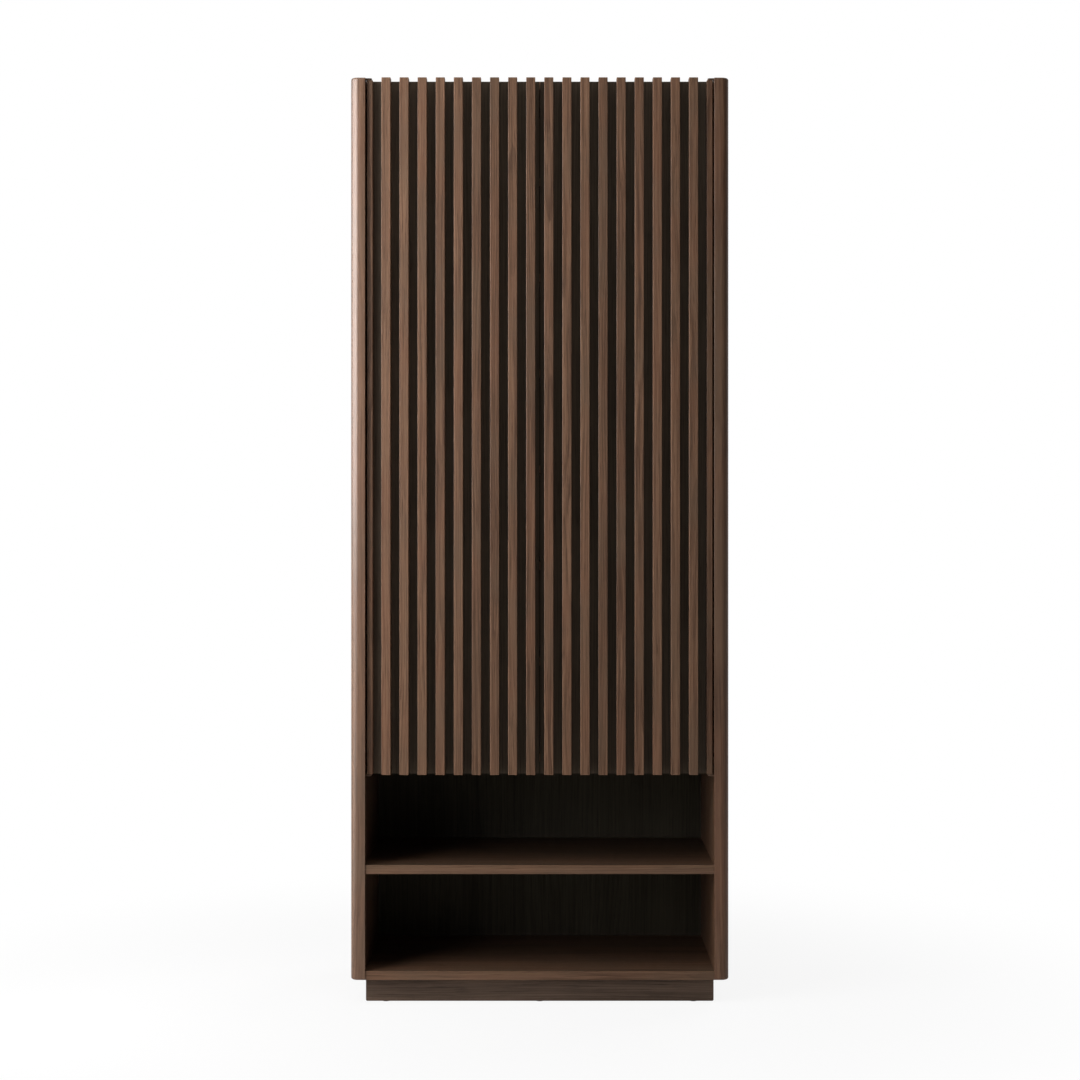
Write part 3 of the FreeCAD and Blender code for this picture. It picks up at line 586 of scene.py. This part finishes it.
def add_piece(name, mesh, material, body, node=None):
    """Piece that moves with a body and may be shown instead of a node."""
    mesh.materials.append(material)
    piece = bpy.data.objects.new(name, mesh)
    bpy.context.scene.collection.objects.link(piece)
    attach(piece, body)
    if node:
        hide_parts(node)
    return piece


def new_piece(name, shape, material, body, node=None):
    """Finished piece from a shape."""
    bmesh.ops.recalc_face_normals(shape, faces=shape.faces)
    mesh = bpy.data.meshes.new(name)
    shade_smoothly(shape, mesh)
    add_piece(name, mesh, material, body, node)


def ease(node, width):
    """Round the edges of a node of the frame a little."""
    piece = NODES[node]
    join = piece.modifiers.new("join_faces", "WELD")
    join.merge_threshold = MERGE_DISTANCE
    edges = piece.modifiers.new("eased_edges", "BEVEL")
    edges.limit_method = "ANGLE"
    edges.angle_limit = EASED_ANGLE
    edges.width = width
    edges.segments = 2


def dress(node, material):
    """Give a node of the frame its material."""
    piece = NODES[node]
    if not piece.material_slots:
        piece.data.materials.append(material)
    for place in piece.material_slots:
        place.material = material


def smooth_copy(node, name, material, body):
    """Merged copy of a node whose roundings shade smoothly, shown instead of the node."""
    mesh = NODES[node].data.copy()
    mesh.name = name
    shape = bmesh.new()
    shape.from_mesh(mesh)
    bmesh.ops.remove_doubles(shape, verts=shape.verts, dist=MERGE_DISTANCE)
    shade_smoothly(shape, mesh)
    mesh.materials.clear()
    piece = add_piece(name, mesh, material, body, node)
    weights = piece.modifiers.new("even_faces", "WEIGHTED_NORMAL")
    weights.keep_sharp = True


class CUPBOARD_OT_side_panels(bpy.types.Operator):
    """Walnut side panels with a smooth rounded front edge"""
    bl_idname = "cupboard.side_panels"
    bl_label = "Side Panels"

    def execute(self, context):
        tints = context.scene.cupboard_colours
        from_heart = 0.06
        heart = middle("right_side_panel").x + from_heart
        # The left panel's tone is a little paler and the right panel's darker, and the place of the right
        # panel's grain makes it darker at the top: painted light and shade. Both panels' inner faces are
        # darkened as painted shade.
        for side, tone, polish, shift in (("left", 0.04, 0.36, (heart, 0.02, 0.3)),
                                          ("right", -0.17, 0.10, (-heart, -0.03, 3.3))):
            walnut = wood(f"walnut_{side}_side", walnut_tones(tints), shift=shift, tone=tone,
                          gloss=0.31, specular=0.10, polish=polish, painted_shade_face=inner_face, dim=0.30)
            smooth_copy(f"{side}_side_panel", f"{side}_side", walnut, "carcass")
        return {"FINISHED"}


class CUPBOARD_OT_boards(bpy.types.Operator):
    """Top, divider, open shelf and bottom board, with their dowels"""
    bl_idname = "cupboard.boards"
    bl_label = "Fixed Boards"

    def execute(self, context):
        tints = context.scene.cupboard_colours
        # Painted shade: the share by which each board's upper and lower faces are darkened.
        painted_shade_shares = {"top_board": 0.10, "divider_board": 0.50, "open_shelf": 0.50, "bottom_board": 0.32}
        for node, dim in painted_shade_shares.items():
            walnut = wood(f"walnut_{node}", board_tones(tints), turn=ALONG_X, shift=(0.05, 0.31, 0.7),
                          tone=0.02, painted_shade_face=flat_face, dim=dim)
            dress(node, walnut)
        beech = wood("beech", (tints.beech_light, tints.beech_dark, tints.beech_light, tints.beech_light),
                     turn=ALONG_X)
        dress("dowels", beech)
        return {"FINISHED"}


class CUPBOARD_OT_shelves(bpy.types.Operator):
    """Adjustable shelves and the supports under them"""
    bl_idname = "cupboard.shelves"
    bl_label = "Adjustable Shelves"

    def execute(self, context):
        tints = context.scene.cupboard_colours
        # The shelves' upper and lower faces are darkened as painted shade.
        walnut = wood("walnut_shelf", board_tones(tints), turn=ALONG_X, shift=(0.33, 0.27, 1.9),
                      tone=-0.05, painted_shade_face=flat_face, dim=0.50)
        for node in NODES:
            if node.startswith("adjustable_shelf_"):
                dress(node, walnut)
        dress("shelf_supports", metal("bright_steel_supports", tints.bright_steel, 0.30, 500.0))
        ease("shelf_supports", 0.0005)
        return {"FINISHED"}


class CUPBOARD_OT_back_panels(bpy.types.Operator):
    """Dark back panels with upright grain"""
    bl_idname = "cupboard.back_panels"
    bl_label = "Back Panels"

    def execute(self, context):
        tints = context.scene.cupboard_colours
        tones = (tints.back_light, tints.back_dark, tints.back_dark, tints.back_light)
        dark = wood("dark_back", tones, shift=(0.2, 0.5, 0.1), contrast=0.8, patches=0.4,
                    gloss=0.55, specular=0.06)
        for node in ("lower_back_panel", "upper_back_panel"):
            dress(node, dark)
        return {"FINISHED"}


class CUPBOARD_OT_plinth(bpy.types.Operator):
    """Plinth rails and floor glides"""
    bl_idname = "cupboard.plinth"
    bl_label = "Plinth"

    def execute(self, context):
        tints = context.scene.cupboard_colours
        tones = (tints.plinth_light, tints.plinth_dark, tints.plinth_light, tints.plinth_dark)
        look = {"contrast": 1.1, "gloss": 0.42, "specular": 0.08}
        along = wood("walnut_plinth", tones, turn=ALONG_X, shift=(0.12, 0.22, 2.6), **look)
        for node in ("plinth_front_rail", "plinth_back_rail"):
            dress(node, along)
        deep = wood("walnut_plinth_side", tones, turn=ALONG_Y, shift=(0.15, 0.2, 0.4), **look)
        for node in ("plinth_left_rail", "plinth_right_rail"):
            dress(node, deep)
        dress("floor_glides", coated("glide_plastic", tints.glide_black, 0.5, 0.0006))
        ease("floor_glides", 0.0003)
        return {"FINISHED"}


class CUPBOARD_OT_door_panels(bpy.types.Operator):
    """Dark stained panels behind the slats"""
    bl_idname = "cupboard.door_panels"
    bl_label = "Door Panels"

    def execute(self, context):
        tints = context.scene.cupboard_colours
        tones = (tints.panel_light, tints.panel_dark, tints.panel_dark, tints.panel_light)
        dark = wood("dark_door_panel", tones, shift=(0.3, 0.35, 0.9), contrast=0.7, patches=0.6,
                    gloss=0.55, specular=0.05)
        for side in ("left", "right"):
            dress(f"{side}_door_panel", dark)
        return {"FINISHED"}


class CUPBOARD_OT_slats(bpy.types.Operator):
    """Walnut slats, each with a tone and grain of its own, the end slats darker as painted shade"""
    bl_idname = "cupboard.slats"
    bl_label = "Slats"

    def execute(self, context):
        tints = context.scene.cupboard_colours
        tones = walnut_tones(tints)
        look = {"slatted": True, "contrast": 1.5, "gloss": 0.36, "specular": 0.10}
        full = wood("walnut_slat", tones, **look)
        for node in NODES:
            if "_slat_" in node:
                dress(node, full)
        # The end slats are drawn darker than the others, the left one most: painted shade.
        for side, tone in (("left", -0.28), ("right", -0.10)):
            end = wood(f"walnut_{side}_end_slat", tones, tone=tone, **look)
            dress(f"{side}_end_slat", end)
        return {"FINISHED"}


class CUPBOARD_OT_pivots(bpy.types.Operator):
    """Pivot brackets with their pins, screws and bushes"""
    bl_idname = "cupboard.pivots"
    bl_label = "Door Pivots"

    def execute(self, context):
        tints = context.scene.cupboard_colours
        bronze = coated("bronze_steel", tints.bronze_steel, 0.58, 0.0004, specular=0.08)
        bright = metal("bright_steel", tints.bright_steel, 0.28, 500.0)
        nylon = coated("white_nylon", tints.white_nylon, 0.45, 0.0005)
        for side in ("left", "right"):
            dress(f"{side}_upper_pivot_bracket", bronze)
            dress(f"{side}_lower_pivot_bracket", bronze)
            ease(f"{side}_upper_pivot_bracket", 0.0003)
            ease(f"{side}_lower_pivot_bracket", 0.0003)
            dress(f"{side}_pivot_bushes", nylon)
        dress("pivot_pins", bright)
        ease("pivot_pins", 0.0004)
        shape = bmesh.new()
        for place, inward in self.screw_places():
            add_screw(shape, seat(place, (inward, 0.0, 0.0)))
        new_piece("cross_head_screws", shape, bright, "carcass", "bracket_screws")
        return {"FINISHED"}

    def screw_places(self):
        """Heads of the bracket screws, two in each leaf, and the way that they look."""
        for side, inward in (("left", 1.0), ("right", -1.0)):
            for level in ("upper", "lower"):
                low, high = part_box(f"{side}_{level}_pivot_bracket")
                for part in (0.35, 0.75):
                    drop = (high.z - low.z) * part
                    height = high.z - drop if level == "upper" else low.z + drop
                    yield Vector((-inward * INNER_FACE, (low.y + high.y) / 2, height)), inward


class CUPBOARD_OT_catches(bpy.types.Operator):
    """Magnetic catches, strike plates and door bumpers"""
    bl_idname = "cupboard.catches"
    bl_label = "Catches"

    def execute(self, context):
        tints = context.scene.cupboard_colours
        plastic = coated("brown_plastic", tints.brown_plastic, 0.40, 0.0005)
        steel = metal("bright_steel_strike", tints.bright_steel, 0.30, 500.0)
        for side in ("left", "right"):
            self.make_catch(side, plastic, steel)
            self.make_strike(side, steel)
        dress("door_bumpers", coated("soft_bumper", tints.soft_grey, 0.75, 0.0008))
        ease("door_bumpers", 0.0005)
        return {"FINISHED"}

    def make_catch(self, side, plastic, steel):
        """Case between two screwed lugs, with a pair of pole plates in its front."""
        low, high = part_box(f"{side}_magnetic_catch")
        centre = (low + high) / 2
        lug = 0.0035
        half_case = (high.x - low.x) * 0.34
        screw_from_middle = (high.x - low.x) * 0.415
        face_back = 0.0006
        pole_from_middle = 0.0028
        pole_half = 0.0008
        pole_end = half_case - 0.003
        pole_depth = 0.008
        shape = bmesh.new()
        add_block(shape, Vector((centre.x - half_case, low.y + face_back, low.z)),
                  Vector((centre.x + half_case, high.y, high.z)), 0.0009)
        recess_front(shape, 0.0016, 0.0020)
        hole = ring(SCREW_HOLE)
        outline = rounded_outline(high.x - low.x, high.y - low.y - 2 * face_back, 0.0025)
        lug_face = Vector((centre.x, centre.y, high.z - lug))
        add_plate(shape, outline, [moved(hole, -screw_from_middle), moved(hole, screw_from_middle)],
                  lug, seat(lug_face, (0.0, 0.0, -1.0)))
        new_piece(f"{side}_catch_case", shape, plastic, "carcass",
                  f"{side}_magnetic_catch")
        shape = bmesh.new()
        for offset in (-pole_from_middle, pole_from_middle):
            level = centre.z + offset
            pole_low = Vector((centre.x - pole_end, low.y, level - pole_half))
            pole_high = Vector((centre.x + pole_end, low.y + pole_depth, level + pole_half))
            add_block(shape, pole_low, pole_high, 0.0002)
        for offset in (-screw_from_middle, screw_from_middle):
            add_screw(shape, seat(lug_face + Vector((offset, 0.0, 0.0)), (0.0, 0.0, -1.0)))
        new_piece(f"{side}_catch_steel", shape, steel, "carcass")

    def make_strike(self, side, steel):
        """Round-cornered plate on the back of a door, held by two screws."""
        low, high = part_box(f"{side}_strike_plate")
        centre = (low + high) / 2
        back = Vector((centre.x, high.y, centre.z))
        spread = (high.x - low.x) * 0.30
        hole = ring(SCREW_HOLE)
        shape = bmesh.new()
        add_plate(shape, rounded_outline(high.x - low.x, high.z - low.z, 0.002),
                  [moved(hole, -spread), moved(hole, spread)], high.y - low.y, seat(back, (0.0, 1.0, 0.0)))
        for offset in (-spread, spread):
            add_screw(shape, seat(back + Vector((offset, 0.0, 0.0)), (0.0, 1.0, 0.0)))
        new_piece(f"{side}_strike", shape, steel, f"{side}_door", f"{side}_strike_plate")


# Stage

def white_to_the_camera(finish, in_glosses=1.0):
    """1 for rays that show the background: seen directly, in a gloss or through glass."""
    path = finish.add("ShaderNodeLightPath")
    seen = finish.flow(path, "Is Camera Ray")
    seen = seen.sum("MAXIMUM", seen, finish.flow(path, "Is Glossy Ray") * in_glosses)
    return seen.sum("MAXIMUM", seen, finish.flow(path, "Is Transmission Ray"))


class StageFinish(Finish):
    """Node tree of the world, filled in the same way as a material's."""

    def __init__(self, world):
        world.use_nodes = True
        self.tree = world.node_tree
        self.tree.nodes.clear()


class CUPBOARD_OT_stage(bpy.types.Operator):
    """Pale floor, soft light and the camera"""
    bl_idname = "cupboard.stage"
    bl_label = "Stage"

    def execute(self, context):
        scene = context.scene
        studio = scene.cupboard_studio
        self.make_world(scene, studio)
        self.make_floor(scene)
        self.make_softbox(scene, "front_softbox", studio.front_power, (-1.60, -1.50, 1.58), 1.0, 2.6)
        self.make_softbox(scene, "near_softbox", studio.near_power, (-1.10, -0.78, 1.62), 0.4, 1.1)
        self.make_softbox(scene, "side_softbox", studio.side_power, (-1.23, -0.45, 0.55), 0.4, 1.0)
        self.make_softbox(scene, "top_softbox", studio.top_power, (-0.35, -0.60, 3.10), 3.0, 0.9,
                          tilt=-1.5)
        self.make_softbox(scene, "back_softbox", studio.back_power, (1.90, 2.40, 1.80), 2.0, 2.0,
                          in_glosses=False)
        self.make_softbox(scene, "edge_softbox", studio.edge_power, (-2.27, -1.34, 1.75), 4.10, 1.7,
                          on_surfaces=False)
        self.make_camera(scene, studio)
        scene.view_settings.view_transform = "Standard"
        return {"FINISHED"}

    def make_world(self, scene, studio):
        """White all round to the camera; a gloss shows the white only behind the cupboard."""
        scene.world = bpy.data.worlds.new("studio")
        tree = StageFinish(scene.world)
        behind = tree.parts(tree.place())[1].step(-0.2, 0.3)
        seen = white_to_the_camera(tree, behind)
        dim = tree.add("ShaderNodeBackground", None, {"Color": WHITE, "Strength": studio.ambient})
        white = tree.add("ShaderNodeBackground", None, {"Color": WHITE, "Strength": 1.0})
        both = tree.add("ShaderNodeMixShader", None, {0: seen, 1: tree.flow(dim), 2: tree.flow(white)})
        tree.add("ShaderNodeOutputWorld", None, {"Surface": tree.flow(both)})

    def make_floor(self, scene):
        """Pale floor that keeps the cupboard's shadow and turns white away from it."""
        shape = bmesh.new()
        bmesh.ops.create_grid(shape, x_segments=1, y_segments=1, size=20.0)
        mesh = bpy.data.meshes.new("floor")
        shape.to_mesh(mesh)
        shape.free()
        floor = bpy.data.objects.new("floor", mesh)
        scene.collection.objects.link(floor)
        paint = Finish("pale_floor")
        seen = white_to_the_camera(paint)
        away = paint.vectors("LENGTH", paint.place(), (0.0, 0.0, 0.0)).step(0.5, 1.5)
        lit = paint.add("ShaderNodeBsdfDiffuse", None, {"Color": (0.82, 0.82, 0.82, 1.0)})
        glow = paint.add("ShaderNodeEmission", None, {"Color": WHITE, "Strength": 1.0})
        both = paint.add("ShaderNodeMixShader", None,
                         {0: seen * (0.88 + 0.12 * away), 1: paint.flow(lit), 2: paint.flow(glow)})
        paint.add("ShaderNodeOutputMaterial", None, {"Surface": paint.flow(both)})
        mesh.materials.append(paint.material)

    def make_softbox(self, scene, name, strength, place, width, height, tilt=0.0,
                     on_surfaces=True, in_glosses=True):
        """Area lamp turned towards the front of the cupboard, level or tilted."""
        lamp = bpy.data.lights.new(name, "AREA")
        lamp.shape = "RECTANGLE"
        lamp.size = width
        lamp.size_y = height
        lamp.energy = strength
        softbox = bpy.data.objects.new(name, lamp)
        softbox.location = place
        aim = Vector((0.0, FRONT_PLANE, place[2] + tilt)) - Vector(place)
        softbox.rotation_euler = aim.to_track_quat("-Z", "Y").to_euler()
        softbox.visible_camera = False
        softbox.visible_diffuse = on_surfaces
        softbox.visible_glossy = in_glosses
        scene.collection.objects.link(softbox)

    def make_camera(self, scene, studio):
        """Camera that looks level and square at the doors."""
        lens = bpy.data.cameras.new("camera")
        lens.lens = studio.lens
        lens.sensor_width = 36.0
        lens.shift_x = studio.shift_x
        lens.shift_y = studio.shift_y
        camera = bpy.data.objects.new("camera", lens)
        camera.location = studio.camera_place
        camera.rotation_euler = (math.radians(90.0), 0.0, 0.0)
        scene.collection.objects.link(camera)
        scene.camera = camera


OPERATORS = (
    CUPBOARD_OT_side_panels,
    CUPBOARD_OT_boards,
    CUPBOARD_OT_shelves,
    CUPBOARD_OT_back_panels,
    CUPBOARD_OT_plinth,
    CUPBOARD_OT_door_panels,
    CUPBOARD_OT_slats,
    CUPBOARD_OT_pivots,
    CUPBOARD_OT_catches,
    CUPBOARD_OT_stage,
)


class CUPBOARD_PT_sidebar(bpy.types.Panel):
    """Buttons and settings of the cupboard"""
    bl_idname = "CUPBOARD_PT_sidebar"
    bl_label = "Cupboard"
    bl_space_type = "VIEW_3D"
    bl_region_type = "UI"
    bl_category = "Cupboard"

    def draw(self, context):
        for operator in OPERATORS:
            self.layout.operator(operator.bl_idname)
        scene = context.scene
        for group in (scene.cupboard_colours, scene.cupboard_grain, scene.cupboard_studio):
            box = self.layout.box()
            for name in group.__annotations__:
                box.prop(group, name)


CLASSES = (CupboardColours, CupboardGrain, CupboardStudio, *OPERATORS, CUPBOARD_PT_sidebar)


def register():
    for item in CLASSES:
        bpy.utils.register_class(item)
    bpy.types.Scene.cupboard_colours = bpy.props.PointerProperty(type=CupboardColours)
    bpy.types.Scene.cupboard_grain = bpy.props.PointerProperty(type=CupboardGrain)
    bpy.types.Scene.cupboard_studio = bpy.props.PointerProperty(type=CupboardStudio)


def unregister():
    del bpy.types.Scene.cupboard_studio
    del bpy.types.Scene.cupboard_grain
    del bpy.types.Scene.cupboard_colours
    for item in reversed(CLASSES):
        bpy.utils.unregister_class(item)


def main():
    register()
    bpy.ops.cupboard.side_panels()
    bpy.ops.cupboard.boards()
    bpy.ops.cupboard.shelves()
    bpy.ops.cupboard.back_panels()
    bpy.ops.cupboard.plinth()
    bpy.ops.cupboard.door_panels()
    bpy.ops.cupboard.slats()
    bpy.ops.cupboard.pivots()
    bpy.ops.cupboard.catches()
    bpy.ops.cupboard.stage()


if __name__ == "__main__":
    main()
